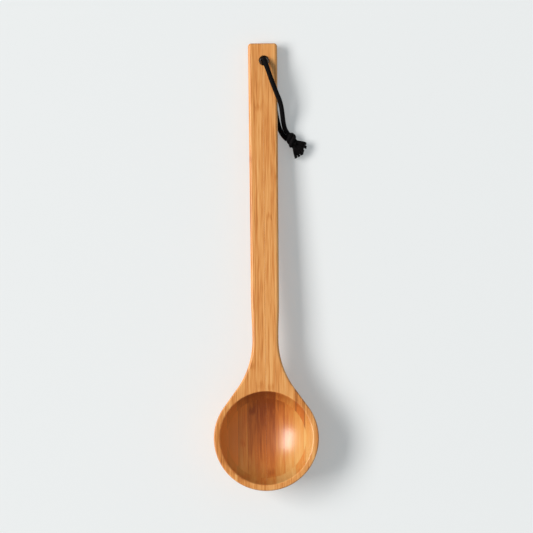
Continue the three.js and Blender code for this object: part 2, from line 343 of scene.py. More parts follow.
def length_property(name, description, default):
    return bpy.props.FloatProperty(
        name=name, description=description, default=default, min=0.0, precision=5,
        subtype="DISTANCE", unit="LENGTH")


def place_property(name, description, default):
    return bpy.props.FloatProperty(name=name, description=description, default=default, unit="LENGTH")


def angle_property(name, description, default):
    return bpy.props.FloatProperty(
        name=name, description=description, default=default, subtype="ANGLE", unit="ROTATION")


def colour_property(name, description, default):
    return bpy.props.FloatVectorProperty(
        name=name, description=description, default=default, min=0.0, max=1.0, size=3, subtype="COLOR")


def share_property(name, description, default):
    return bpy.props.FloatProperty(name=name, description=description, default=default, min=0.0, max=1.0)


class BoardSettings(bpy.types.PropertyGroup):
    """Sizes of the board, which is both handle and ring"""

    length: length_property("Overall length", "From the far rim to the handle's tip", 0.4)
    thickness: length_property("Thickness", "Thickness of the board", 0.0085)
    tip_width: length_property("Tip width", "Width of the handle at its tip", 0.0262)
    grip_width: length_property("Grip width", "Width of the handle where the taper ends", 0.025)
    neck_width: length_property("Neck width", "Narrowest width, above the shoulders", 0.0233)
    grip_taper: length_property("Grip taper", "Length over which the neck widens to the grip", 0.038)
    shoulder_radius: length_property("Shoulder radius", "Radius of the hollow curve of the shoulders", 0.074)
    shoulder_start: angle_property("Shoulder start", "Where the shoulder leaves the rim", SHOULDER_START)
    tip_corner: length_property("Tip corner", "Radius of the tip's corners", 0.003)
    edge_round: length_property("Edge round", "Radius of the rounded edges", 0.0025)
    rim_round: length_property("Rim round", "Width of the rounding of the rim's outer edge", 0.0012)


class BowlSettings(bpy.types.PropertyGroup):
    """Sizes of the turned bowl"""

    rim_radius: length_property("Rim radius", "Outside radius of the rim", 0.0467)
    rim_width: length_property("Rim width", "Width of the rim's top face", 0.0053)
    rim_inner_round: length_property("Inner round", "Easing of the rim's inner edge", 0.0012)
    rim_upright: length_property("Upright", "Height below the rim over which the outside is upright", 0.006)
    hollow_depth: length_property("Hollow depth", "Depth of the hollow", 0.0244)
    floor: length_property("Floor", "Thickness of the bowl under the hollow", 0.0102)
    base_radius: length_property("Base radius", "Radius of the outside at the base", 0.02)
    base_round: length_property("Base round", "Easing of the base's edge", 0.0008)


class CordSettings(bpy.types.PropertyGroup):
    """Sizes of the cord hole, the cord and its knot"""

    hole_diameter: length_property("Hole diameter", "Diameter of the cord hole", 0.0084)
    hole_from_tip: length_property("Hole from tip", "From the handle's tip to the middle of the hole", 0.0159)
    hole_offset: length_property("Hole offset", "Distance of the hole right of the middle seam", 0.0012)
    hole_edge: length_property("Hole edge", "Easing of the hole's two edges", 0.0008)
    diameter: length_property("Cord diameter", "Diameter of the braided cord", 0.0042)
    clearance: length_property("Clearance", "Clearance under the knot and the frayed ends", 0.0003)
    knot_width: length_property("Knot width", "Width of the knot", 0.0096)
    knot_length: length_property("Knot length", "Length of the knot", 0.0142)
    fray_width: length_property("Fray width", "Width of a frayed end", 0.0095)


class FinishSettings(bpy.types.PropertyGroup):
    """Colours and gloss of the bamboo and the cord"""

    outer_dark: colour_property("Outer dark", "Darkest fibres outside the hollow", (0.39, 0.120, 0.020))
    outer_warm: colour_property("Outer warm", "Darker streaks outside the hollow", (0.65, 0.235, 0.052))
    outer_mid: colour_property("Outer middle", "Most of the wood outside the hollow", (0.78, 0.345, 0.098))
    outer_light: colour_property("Outer light", "Palest fibres outside the hollow", (0.91, 0.50, 0.184))
    # The hollow's palette is darker and redder than the outside's: partly the wood's own, partly painted
    # shade
    hollow_dark: colour_property("Hollow dark", "Darkest fibres inside the hollow", (0.26, 0.052, 0.006))
    hollow_warm: colour_property("Hollow warm", "Darker streaks inside the hollow", (0.55, 0.155, 0.024))
    hollow_mid: colour_property("Hollow middle", "Most of the wood inside the hollow", (0.66, 0.275, 0.058))
    hollow_light: colour_property("Hollow light", "Palest fibres inside the hollow", (0.75, 0.47, 0.165))
    # Red that strips take inside the hollow: partly their own colour, partly painted red bounce light on the
    # hollow's shaded left side
    red: colour_property("Red", "Reddish strips inside the hollow", (0.98, 0.235, 0.030))
    end_grain: colour_property("End grain", "Wood cut across its fibres", (0.15, 0.030, 0.005))
    glue: colour_property("Glue line", "Seams between the staves", (0.30, 0.095, 0.02))
    # Painted shade: the wall of the cord hole is coloured nearly black, as the hole lies deep in shadow
    painted_hole_shade: colour_property("Drilled wall", "Inside of the cord hole", (0.035, 0.014, 0.006))
    cord: colour_property("Cord", "Black yarn", (0.0026, 0.0023, 0.0025))
    cord_worn: colour_property("Cord worn", "Paler filaments of the yarn", (0.0125, 0.0107, 0.0117))
    outer_gloss: share_property("Outer gloss", "Strength of the clear finish outside the hollow", 0.4)
    hollow_gloss: share_property("Hollow gloss", "Strength of the clear finish inside the hollow", 1.0)
    coat_roughness: share_property("Finish roughness", "Roughness of the clear finish", 0.31)
    # Painted shade: the hollow grows darker towards the handle and paler towards the far rim, as its wall by
    # the handle turns from the light
    hollow_shade_lean: bpy.props.FloatProperty(
        name="Hollow lean", description="Change of tone inside the hollow with each metre towards the handle",
        default=-6.0)


class StageSettings(bpy.types.PropertyGroup):
    """Floor, light and camera"""

    floor: colour_property("Floor", "Colour of the floor", (0.845, 0.866, 0.870))
    floor_glow: share_property("Floor glow", "Share of its colour that shines through shadows", 0.3)
    floor_size: length_property("Floor size", "Side of the square floor", 24.0)
    fill: share_property("Fill", "Strength of the light from all round", 0.30)
    fill_lean: share_property("Fill lean", "How much more of the fill comes from the right", 0.2)
    fill_shine: share_property("Fill shine", "Share of the fill that shows in reflections", 0.5)
    fill_colour: colour_property("Fill colour", "Colour of the fill, slightly cool", (0.855, 0.955, 1.0))
    key_colour: colour_property("Key colour", "Colour of the key light, slightly warm", (1.0, 0.968, 0.942))
    key_power: bpy.props.FloatProperty(
        name="Key power", description="Power of the key light", default=4700.0, min=0.0,
        subtype="POWER", unit="POWER")
    key_distance: length_property("Key distance", "From the ladle to the key light", 20.0)
    key_width: length_property("Key width", "Width of the key light, across the handle", 7.6)
    key_length: length_property("Key length", "Length of the key light, along the handle", 14.0)
    key_elevation: angle_property("Key elevation", "Angle of the key light above the floor", KEY_ELEVATION)
    key_bearing: angle_property("Key bearing", "Turn of the key light towards the handle's tip", KEY_BEARING)
    camera_height: length_property("Camera height", "Height of the camera above the floor", 2.338)
    camera_x: place_property("Camera across", "Camera's place across the handle", 0.0016)
    camera_y: place_property("Camera along", "Camera's place along the handle", -0.0004)
    camera_roll: angle_property("Camera roll", "Turn of the picture", -0.0099)
    lens: bpy.props.FloatProperty(
        name="Lens", description="Focal length in millimetres", default=175.4, min=1.0)


def board_settings():
    return bpy.context.scene.ladle_board


def bowl_settings():
    return bpy.context.scene.ladle_bowl


def cord_settings():
    return bpy.context.scene.ladle_cord


def finish_settings():
    return bpy.context.scene.ladle_finish


def hole_place():
    """Middle of the cord hole in the board's top face, on the level ladle."""
    board, bowl, cord = board_settings(), bowl_settings(), cord_settings()
    return Vector((cord.hole_offset, board.length - bowl.rim_radius - cord.hole_from_tip, 0.0))


def tip_matrix():
    """From the level ladle to the frame, where the cord's hinge is the axis of the hole."""
    up = Vector(SWING["axis"]).normalized()
    right = Vector((1.0, 0.0, 0.0))
    along = up.cross(right)
    turn = Matrix((right, along, up)).transposed().to_4x4()
    middle = hole_place() - Vector((0.0, 0.0, board_settings().thickness / 2))
    return Matrix.Translation(SWING["pos_m"]) @ turn @ Matrix.Translation(-middle)


def table_height(y):
    """Height of the table under the level ladle."""
    level = tip_matrix().inverted()
    up = level.to_3x3() @ Vector(UP)
    place = level.translation
    return place.z - (y - place.y) * up.y / up.z


def link(name, mesh, material):
    piece = bpy.data.objects.new(name, mesh)
    bpy.context.scene.collection.objects.link(piece)
    if material is not None:
        mesh.materials.append(material)
    return piece


def arc(centre, radius, start, end, steps):
    turns = np.linspace(start, end, steps + 1)
    return [Vector((centre[0] + radius * math.cos(t), centre[1] + radius * math.sin(t))) for t in turns]


def bezier(a, b, c, d, steps):
    points = []
    for t in np.linspace(0.0, 1.0, steps + 1):
        s = 1.0 - t
        points.append(a * s**3 + b * (3 * s * s * t) + c * (3 * s * t * t) + d * t**3)
    return points


def outside_radius(z):
    """Outside radius of the turned bowl at a height: upright below the rim, then drawn in to the base."""
    bowl = bowl_settings()
    height = bowl.hollow_depth + bowl.floor
    drop = max(0.0, -z - bowl.rim_upright) / (height - bowl.rim_upright)
    return bowl.base_radius + (bowl.rim_radius - bowl.base_radius) * (1 - drop**2)


def half_outline():
    """Right half of the board's outline from the far rim to the tip, and the y of the shoulder's two ends."""
    board, bowl = board_settings(), bowl_settings()
    neck, grip, tip = board.neck_width / 2, board.grip_width / 2, board.tip_width / 2
    start = board.shoulder_start
    reach = neck + board.shoulder_radius
    both = bowl.rim_radius + board.shoulder_radius
    neck_y = (both - reach * math.cos(start)) / math.sin(start)
    grip_y = neck_y + board.grip_taper
    middle_y = (neck_y + grip_y) / 2
    tip_y = board.length - bowl.rim_radius
    corner = board.tip_corner
    points = arc((0.0, 0.0), bowl.rim_radius, -QUARTER, start, RIM_STEPS)
    points += arc((reach, neck_y), board.shoulder_radius, math.pi + start, math.pi, SHOULDER_STEPS)[1:]
    points += bezier(
        Vector((neck, neck_y)), Vector((neck, middle_y)), Vector((grip, middle_y)), Vector((grip, grip_y)),
        TAPER_STEPS)[1:]
    points += arc((tip - corner, tip_y - corner), corner, 0.0, QUARTER, CORNER_STEPS)
    return points, bowl.rim_radius * math.sin(start), neck_y


def smooth_step(value, low, high):
    share = min(1.0, max(0.0, (value - low) / (high - low)))
    return share * share * (3 - 2 * share)


def board_blank():
    """The uncut board: rings of the outline, rounded at the top edge. Below, they are rounded too on the
    handle, and run on into the bowl's outside under the rim."""
    board, bowl = board_settings(), bowl_settings()
    right, join_y, neck_y = half_outline()
    outline = right + [Vector((-p.x, p.y)) for p in reversed(right[1:])]
    count = len(outline)
    inward = []
    for i in range(count):
        along = (outline[(i + 1) % count] - outline[i - 1]).normalized()
        inward.append(Vector((-along.y, along.x)))
    levels = []
    for turn in np.linspace(0.0, QUARTER, ROUND_STEPS + 1):
        drawn_in = board.edge_round * (1 - math.sin(turn))
        drop = board.edge_round * (1 - math.cos(turn))
        low = drop - board.thickness
        levels.append((-drop, drawn_in, board.rim_round * (1 - math.sin(turn))))
        levels.append((low, drawn_in, bowl.rim_radius - outside_radius(low)))
    levels.sort()
    shape = bmesh.new()
    rings = []
    for z, on_handle, on_rim in levels:
        ring = []
        for point, turned_in in zip(outline, inward):
            share = smooth_step(point.y, join_y, neck_y)
            place = point + turned_in * (on_rim + (on_handle - on_rim) * share)
            ring.append(shape.verts.new((place.x, place.y, z)))
        rings.append(ring)
    for low, high in zip(rings, rings[1:]):
        for i in range(count):
            j = (i + 1) % count
            shape.faces.new((low[i], low[j], high[j], high[i]))
    shape.faces.new(list(reversed(rings[0])))
    shape.faces.new(rings[-1])
    return shape


def turned(profile, segments):
    """A turned solid from its profile of (radius, height), from the bottom of the axis to its top."""
    shape = bmesh.new()
    turns = [2 * math.pi * i / segments for i in range(segments)]
    rings = []
    for radius, z in profile[1:-1]:
        rings.append([shape.verts.new((radius * math.cos(t), radius * math.sin(t), z)) for t in turns])
    bottom = shape.verts.new((0.0, 0.0, profile[0][1]))
    top = shape.verts.new((0.0, 0.0, profile[-1][1]))
    for i in range(segments):
        j = (i + 1) % segments
        shape.faces.new((bottom, rings[0][j], rings[0][i]))
        shape.faces.new((top, rings[-1][i], rings[-1][j]))
        for low, high in zip(rings, rings[1:]):
            shape.faces.new((low[i], low[j], high[j], high[i]))
    return shape


def ball():
    """Radius and centre height of the ball whose cap is the hollow."""
    bowl = bowl_settings()
    mouth = bowl.rim_radius - bowl.rim_width
    radius = (mouth**2 + bowl.hollow_depth**2) / (2 * bowl.hollow_depth)
    return radius, radius - bowl.hollow_depth


def hollow_cutter():
    """The space inside the bowl: a ball's cap, with the rim's inner edge eased."""
    bowl = bowl_settings()
    radius, centre = ball()
    mouth = bowl.rim_radius - bowl.rim_width
    ease = bowl.rim_inner_round
    top = math.asin((-ease - centre) / radius)
    profile = [(p.x, p.y) for p in arc((0.0, centre), radius, -QUARTER, top, HOLLOW_RINGS)]
    wall = profile[-1][0]
    for t in np.linspace(0.0, 1.0, ROUND_STEPS + 1)[1:]:
        s = 1.0 - t
        out = s * s * wall + 2 * s * t * mouth + t * t * (mouth + ease)
        profile.append((out, -ease * s * s))
    above = bowl.hollow_depth
    profile += [(mouth + ease, above), (0.0, above)]
    return turned(profile, TURNED_SEGMENTS)


def hole_cutter():
    """The cord hole, with both edges eased."""
    board, bowl, cord = board_settings(), bowl_settings(), cord_settings()
    radius, edge = cord.hole_diameter / 2, cord.hole_edge
    beyond = bowl.hollow_depth
    upper = arc((radius + edge, -edge), edge, math.pi, QUARTER, ROUND_STEPS)
    lower = [Vector((p.x, -board.thickness - p.y)) for p in reversed(upper)]
    profile = [(0.0, -board.thickness - beyond), (radius + edge, -board.thickness - beyond)]
    profile += [(p.x, p.y) for p in lower + upper]
    profile += [(radius + edge, beyond), (0.0, beyond)]
    shape = turned(profile, HOLE_SEGMENTS)
    bmesh.ops.translate(shape, verts=shape.verts, vec=hole_place())
    return shape


def in_fixed_order(shape):
    """The same shape with its corners and faces ordered by their places, which a bevel leaves to chance."""
    corners = sorted({tuple(v.co) for v in shape.verts})
    numbers = {corner: i for i, corner in enumerate(corners)}
    faces = []
    for face in shape.faces:
        ring = [numbers[tuple(v.co)] for v in face.verts]
        first = ring.index(min(ring))
        faces.append(ring[first:] + ring[:first])
    shape.free()
    ordered = bmesh.new()
    verts = [ordered.verts.new(corner) for corner in corners]
    for ring in sorted(faces):
        ordered.faces.new([verts[i] for i in ring])
    return ordered


def split_many_sided(shape):
    bmesh.ops.triangulate(shape, faces=[face for face in shape.faces if len(face.verts) > 4])


def carve(solid, cutters):
    """The solid less the cutters, with its many-sided faces split."""
    objects = []
    for i, shape in enumerate([solid] + cutters):
        mesh = bpy.data.meshes.new(f"carving_{i}")
        shape.to_mesh(mesh)
        shape.free()
        objects.append(link(f"carving_{i}", mesh, None))
    for cutter in objects[1:]:
        cut = objects[0].modifiers.new(cutter.name, "BOOLEAN")
        cut.operation = "DIFFERENCE"
        cut.solver = "EXACT"
        cut.object = cutter
    evaluated = objects[0].evaluated_get(bpy.context.evaluated_depsgraph_get())
    carved = bmesh.new()
    carved.from_mesh(evaluated.to_mesh())
    evaluated.to_mesh_clear()
    for piece in objects:
        mesh = piece.data
        bpy.data.objects.remove(piece)
        bpy.data.meshes.remove(mesh)
    split_many_sided(carved)
    return carved


def cut_away(shape, place, normal):
    """Cuts a shape at a plane, drops what lies beyond it and closes the cut. Returns the closing faces."""
    everything = shape.verts[:] + shape.edges[:] + shape.faces[:]
    bmesh.ops.bisect_plane(shape, geom=everything, plane_co=place, plane_no=normal, clear_outer=True)
    rim = [edge for edge in shape.edges if edge.is_boundary]
    return bmesh.ops.holes_fill(shape, edges=rim, sides=0)["faces"]


def stave(blank, sign, inner, outer):
    """One stave of a carved layer, between two seams on the left (-1) or the right (1)."""
    shape = blank.copy()
    near = Vector((sign * (inner + STAVE_GAP / 2), 0.0, 0.0))
    cut_away(shape, near, (-sign, 0.0, 0.0))
    if outer is not None:
        far = Vector((sign * (outer - STAVE_GAP / 2), 0.0, 0.0))
        cut_away(shape, far, (sign, 0.0, 0.0))
    return shape


def keep_side(shape, sign):
    """Keeps what lies towards the handle (1) or towards the far rim (-1)."""
    beyond = [v for v in shape.verts if v.co.y * sign < 0]
    bmesh.ops.delete(shape, geom=beyond, context="VERTS")


def wood_piece(node, shape, strip, shift, material):
    """A stave, tipped into the frame, with its strip's tones, red tint and knots for the finish; inside the
    hollow the tones and red tint are partly the strip's own and partly painted shade and red bounce light.
    """
    shape.transform(tip_matrix())
    mesh = bpy.data.meshes.new("wood_" + node)
    shape.to_mesh(mesh)
    shape.free()
    tone, hollow_tone_and_shade, red_and_bounce, knots = strip
    values = {"strip_tone": tone, "strip_hollow": hollow_tone_and_shade, "strip_red_and_bounce": red_and_bounce, "strip_shift": shift,
              "strip_knot_a": knots[0], "strip_knot_b": knots[1], "strip_edge": float(node == DARK_EDGED)}
    for name, value in values.items():
        layer = mesh.attributes.new(name, "FLOAT", "POINT")
        layer.data.foreach_set("value", np.full(len(mesh.vertices), value, dtype=np.float32))
    mesh.shade_smooth()
    mesh.set_sharp_from_angle(angle=WOOD_SHARP_ANGLE)
    piece = link("wood_" + node, mesh, material)
    weighted = piece.modifiers.new("even_shading", "WEIGHTED_NORMAL")
    weighted.keep_sharp = True
    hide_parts(node)
    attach(piece, "ladle")


def seam_lines(staves):
    """Distances of a layer's seams from the middle, on one side, with None beyond the last stave."""
    width = bowl_settings().rim_radius / staves
    return [i * width for i in range(math.ceil(staves))] + [None]


class Sketch:
    """The nodes of a material or of the world, added and linked by the names of their sockets."""

    def __init__(self, owner):
        owner.use_nodes = True
        self.owner = owner
        self.tree = owner.node_tree
        self.tree.nodes.clear()

    def add(self, kind, inputs=None, **settings):
        node = self.tree.nodes.new(kind)
        for key, value in settings.items():
            setattr(node, key, value)
        for key, value in (inputs or {}).items():
            if isinstance(value, bpy.types.NodeSocket):
                self.tree.links.new(value, node.inputs[key])
            else:
                node.inputs[key].default_value = value
        return node

    def math(self, operation, *values):
        inputs = dict(enumerate(values))
        return self.add("ShaderNodeMath", inputs, operation=operation).outputs["Value"]

    def value(self, name):
        return self.add("ShaderNodeAttribute", attribute_name=name).outputs["Fac"]

    def noise(self, vector, scale, shift, detail):
        """Noise stretched by a scale for each axis, and shifted for each strip."""
        stretched = self.add("ShaderNodeMapping", {"Vector": vector, "Scale": scale}).outputs["Vector"]
        inputs = {"Vector": stretched, "W": shift, "Scale": 1.0, "Detail": detail}
        return self.add("ShaderNodeTexNoise", inputs, noise_dimensions="4D").outputs["Fac"]

    def between(self, value, low, high):
        """Smoothly 0 at low and 1 at high."""
        inputs = {"Value": value, "From Min": low, "From Max": high}
        return self.add("ShaderNodeMapRange", inputs, interpolation_type="SMOOTHSTEP").outputs["Result"]

    def mix(self, share, first, second):
        node = self.add("ShaderNodeMix", data_type="RGBA")
        colours = [socket for socket in node.inputs if socket.type == "RGBA"]
        for socket, colour in zip(colours, (first, second)):
            if isinstance(colour, bpy.types.NodeSocket):
                self.tree.links.new(colour, socket)
            else:
                socket.default_value = (*colour, 1.0)
        self.tree.links.new(share, node.inputs["Factor"])
        return [socket for socket in node.outputs if socket.type == "RGBA"][0]

    def blend(self, share, first, second):
        """A number that goes from the first to the second as the share goes from 0 to 1."""
        inputs = {"Value": share, "To Min": first, "To Max": second}
        return self.add("ShaderNodeMapRange", inputs).outputs["Result"]

    def ramp(self, value, palette):
        """Colours from the darkest to the palest of a palette of four."""
        node = self.add("ShaderNodeValToRGB", {"Fac": value})
        elements = node.color_ramp.elements
        while len(elements) < len(palette):
            elements.new(0.5)
        for element, position, colour in zip(elements, PALETTE_PLACES, palette):
            element.position = position
            element.color = (*colour, 1.0)
        return node.outputs["Color"]

    def finish(self, inputs):
        surface = self.add("ShaderNodeBsdfPrincipled", inputs).outputs["BSDF"]
        self.add("ShaderNodeOutputMaterial", {"Surface": surface})
        return self.owner


def wood_knots(sketch, along, from_seam, ripple):
    """How strongly the bamboo's own knots show: two rippled bands across each strip, fading at its seams."""
    bands = []
    for knot in ("strip_knot_a", "strip_knot_b"):
        from_knot = sketch.math("SUBTRACT", along, sketch.value(knot))
        bent = sketch.math("MULTIPLY_ADD", sketch.math("SUBTRACT", ripple, 0.5), WOOD_KNOT_BEND, from_knot)
        bands.append(sketch.between(sketch.math("ABSOLUTE", bent), WOOD_KNOT_HALF_LENGTH, 0.0))
    inset = sketch.between(from_seam, *WOOD_KNOT_INSET)
    return sketch.math("MULTIPLY", sketch.math("MAXIMUM", *bands), inset)


def glue_lines(sketch, place, from_seam, hollow, shift):
    """How strongly the glue shows: uneven lines at the seams, and both edges of the one dark-edged stave."""
    patches = sketch.between(sketch.noise(place, SEAM_SCALE, shift, SMOOTH_DETAIL), *SEAM_PATCHES)
    strength = sketch.math("MULTIPLY_ADD", patches, SEAM_ADDED, SEAM_LEAST)
    seam = sketch.math("MULTIPLY", sketch.between(from_seam, *SEAM_BAND), strength)
    edge = sketch.math("MULTIPLY", sketch.between(from_seam, *DARK_EDGE_BAND), sketch.value("strip_edge"))
    edge = sketch.math("MULTIPLY", edge, sketch.blend(hollow, *DARK_EDGE_STRENGTHS))
    return sketch.math("MAXIMUM", seam, edge)


def hole_wall(sketch, across, along):
    """1 on the wall of the cord hole, fading to 0 at its eased edges."""
    cord, hole = cord_settings(), hole_place()
    aside = sketch.math("SUBTRACT", across, hole.x)
    beyond = sketch.math("SUBTRACT", along, hole.y)
    squares = [sketch.math("MULTIPLY", part, part) for part in (aside, beyond)]
    distance = sketch.math("SQRT", sketch.math("ADD", *squares))
    return sketch.between(distance, cord.hole_diameter / 2 + cord.hole_edge, cord.hole_diameter / 2)


def bamboo(name, staves):
    """Laminated bamboo: long fibres and streaks in each strip, faint glue lines, the strips' own knots, dark
    end grain, painted shade on the wall of the cord hole, and glossier wood inside the hollow, whose darker,
    redder colour is partly the wood's own and partly painted shade: darker towards the handle, with red
    bounce light on its shaded left side. The pattern is solid, so it runs through each stave from face to
    face."""
    finish = finish_settings()
    sketch = Sketch(bpy.data.materials.new(name))
    coordinates = sketch.add("ShaderNodeTexCoord").outputs
    level = tip_matrix().inverted()
    flat = {"Vector": coordinates["Object"], "Location": level.translation, "Rotation": level.to_euler()}
    place = sketch.add("ShaderNodeMapping", flat).outputs["Vector"]
    across, along, height = sketch.add("ShaderNodeSeparateXYZ", {"Vector": place}).outputs
    shift = sketch.value("strip_shift")
    from_seam = sketch.math("PINGPONG", across, bowl_settings().rim_radius / staves / 2)
    radius, centre = ball()
    from_centre = {0: place, 1: (0.0, 0.0, centre)}
    distance = sketch.add("ShaderNodeVectorMath", from_centre, operation="DISTANCE").outputs["Value"]
    hollow = sketch.between(distance, *[radius + outside for outside in HOLLOW_BAND])

    wander = sketch.noise(place, WANDER_SCALE, shift, SMOOTH_DETAIL)
    ripple = sketch.noise(place, RIPPLE_SCALE, shift, FINE_DETAIL)
    knots = wood_knots(sketch, along, from_seam, ripple)
    swerve = sketch.math("MULTIPLY", sketch.math("SUBTRACT", wander, 0.5), WANDER)
    pushed = sketch.math("SUBTRACT", ripple, WOOD_KNOT_BULGE_NONE)
    bulge = sketch.math("MULTIPLY", pushed, sketch.math("MULTIPLY", knots, WOOD_KNOT_BULGE))
    fibre_x = sketch.math("ADD", across, sketch.math("ADD", swerve, bulge))
    fibre = sketch.add("ShaderNodeCombineXYZ", {"X": fibre_x, "Y": along, "Z": height}).outputs["Vector"]

    # Painted shade: inside the hollow each strip's tone falls towards the handle
    hollow_tone_and_shade = sketch.math("MULTIPLY_ADD", along, finish.hollow_shade_lean, sketch.value("strip_hollow"))
    tone = sketch.blend(hollow, sketch.value("strip_tone"), hollow_tone_and_shade)
    shade = sketch.math("ADD", tone, 0.5)
    grain = {}
    for pattern, (scale, on_outside, in_hollow) in GRAIN.items():
        grain[pattern] = sketch.noise(fibre, scale, shift, FINE_DETAIL)
        contrast = sketch.blend(hollow, on_outside, in_hollow)
        shade = sketch.math("MULTIPLY_ADD", sketch.math("SUBTRACT", grain[pattern], 0.5), contrast, shade)
    shade = sketch.math("MULTIPLY_ADD", knots, WOOD_KNOT_SHADE, shade)

    outside = (finish.outer_dark, finish.outer_warm, finish.outer_mid, finish.outer_light)
    inside = (finish.hollow_dark, finish.hollow_warm, finish.hollow_mid, finish.hollow_light)
    # Inside the hollow the darker palette is partly painted shade
    colour = sketch.mix(hollow, sketch.ramp(shade, outside), sketch.ramp(shade, inside))
    # Partly the strips' own red, partly painted bounce light on the hollow's shaded left side
    colour = sketch.mix(sketch.math("MULTIPLY", sketch.value("strip_red_and_bounce"), hollow), colour, finish.red)
    facing = sketch.add("ShaderNodeSeparateXYZ", {"Vector": coordinates["Normal"]}).outputs["Y"]
    end_grain = sketch.between(sketch.math("ABSOLUTE", facing), *END_GRAIN_TURN)
    colour = sketch.mix(sketch.math("MULTIPLY", end_grain, END_GRAIN_STRENGTH), colour, finish.end_grain)
    colour = sketch.mix(glue_lines(sketch, place, from_seam, hollow, shift), colour, finish.glue)
    # Painted shade on the wall of the cord hole, which also takes the clear finish off it
    painted_hole_shade = hole_wall(sketch, across, along)
    colour = sketch.mix(painted_hole_shade, colour, finish.painted_hole_shade)

    relief = {"Height": sketch.math("ADD", grain["fibres"], grain["streaks"]), **BAMBOO_RELIEF}
    coat = sketch.blend(hollow, finish.outer_gloss, finish.hollow_gloss)
    return sketch.finish({
        "Base Color": colour,
        "Roughness": sketch.math("MULTIPLY_ADD", grain["fibres"], BAMBOO_ROUGHNESS_ADDED, BAMBOO_ROUGHNESS),
        "Normal": sketch.add("ShaderNodeBump", relief).outputs["Normal"],
        "Specular IOR Level": BAMBOO_SPECULAR,
        "Coat Weight": sketch.blend(painted_hole_shade, coat, 0.0),
        "Coat Roughness": finish.coat_roughness,
        "Coat IOR": COAT_IOR,
    })


def black_yarn():
    """Matte black yarn with paler filaments."""
    finish = finish_settings()
    sketch = Sketch(bpy.data.materials.new("black_yarn"))
    place = sketch.add("ShaderNodeTexCoord").outputs["Object"]
    patches = sketch.noise(place, PATCH_SCALE, 0.0, FINE_DETAIL)
    filaments = sketch.noise(place, FILAMENT_SCALE, FILAMENT_SHIFT, FINE_DETAIL)
    pattern = sketch.math("ADD", sketch.math("MULTIPLY", patches, PATCH_SHARE), filaments)
    colour = sketch.mix(sketch.between(pattern, *WORN_BAND), finish.cord, finish.cord_worn)
    relief = {"Height": filaments, **YARN_RELIEF}
    return sketch.finish({
        "Base Color": colour,
        "Roughness": sketch.math("MULTIPLY_ADD", filaments, YARN_ROUGHNESS_ADDED, YARN_ROUGHNESS),
        "Normal": sketch.add("ShaderNodeBump", relief).outputs["Normal"],
        "Specular IOR Level": YARN_SPECULAR,
    })


def floor_paper(colour, glow):
    """Matte paper that takes the shadows. Where it is seen, a share of its own colour shines through them,
    apart from a painted shadow, a dark spot under the cord hole."""
    sketch = Sketch(bpy.data.materials.new("floor_paper"))
    path = sketch.add("ShaderNodeLightPath").outputs
    mirrored = sketch.math("ADD", path["Is Glossy Ray"], path["Is Transmission Ray"])
    seen = sketch.math("ADD", path["Is Camera Ray"], mirrored)
    hole = tip_matrix() @ hole_place()
    from_hole = {0: sketch.add("ShaderNodeTexCoord").outputs["Object"], 1: (hole.x, hole.y, 0.0)}
    distance = sketch.add("ShaderNodeVectorMath", from_hole, operation="DISTANCE").outputs["Value"]
    fades = [share * cord_settings().hole_diameter for share in HOLE_SHADOW_SPOT]
    # Painted shadow: the floor is darker under the cord hole and doesn't shine there
    open_floor = sketch.between(distance, *fades)
    shadow_tinted = sketch.mix(open_floor, [HOLE_SHADOW_TONE * part for part in colour], colour)
    matte = {"Base Color": shadow_tinted, "Roughness": PAPER_ROUGHNESS, "Specular IOR Level": 0.0}
    paper = sketch.add("ShaderNodeBsdfPrincipled", matte).outputs["BSDF"]
    shine = sketch.add("ShaderNodeEmission", {"Color": (*colour, 1.0)}).outputs["Emission"]
    shining = sketch.math("MULTIPLY", sketch.math("MULTIPLY", seen, open_floor), glow)
    both = sketch.add("ShaderNodeMixShader", {0: shining, 1: paper, 2: shine}).outputs["Shader"]
    sketch.add("ShaderNodeOutputMaterial", {"Surface": both})
    return sketch.owner


def cord_material():
    """The one material of all the cord's pieces, made with the first of them."""
    return bpy.data.materials.get("black_yarn") or black_yarn()


def smooth_route(points):
    """Points close together along a centripetal curve through the given ones, evenly spaced."""
    places = [np.array(p) for p in points]
    places = [2 * places[0] - places[1]] + places + [2 * places[-1] - places[-2]]
    dense = []
    for p0, p1, p2, p3 in zip(places, places[1:], places[2:], places[3:]):
        steps = [math.sqrt(np.linalg.norm(b - a)) for a, b in ((p0, p1), (p1, p2), (p2, p3))]
        slope_1 = (p1 - p0) / steps[0] - (p2 - p0) / (steps[0] + steps[1]) + (p2 - p1) / steps[1]
        slope_2 = (p2 - p1) / steps[1] - (p3 - p1) / (steps[1] + steps[2]) + (p3 - p2) / steps[2]
        slope_1, slope_2 = slope_1 * steps[1], slope_2 * steps[1]
        for t in np.linspace(0.0, 1.0, CURVE_STEPS, endpoint=False):
            bend = (2 * p1 - 2 * p2 + slope_1 + slope_2) * t**3
            sway = (3 * p2 - 3 * p1 - 2 * slope_1 - slope_2) * t**2
            dense.append(bend + sway + slope_1 * t + p1)
    dense.append(places[-2])
    return evenly(np.array(dense), ROUTE_STEP)


def evenly(points, step):
    """Points at even distances along a line."""
    lengths = np.concatenate(([0.0], np.cumsum(np.linalg.norm(np.diff(points, axis=0), axis=1))))
    count = max(2, round(lengths[-1] / step))
    wanted = np.linspace(0.0, lengths[-1], count + 1)
    return np.stack([np.interp(wanted, lengths, points[:, axis]) for axis in range(3)], axis=1)


def unit(vectors):
    return vectors / np.linalg.norm(vectors, axis=-1, keepdims=True)


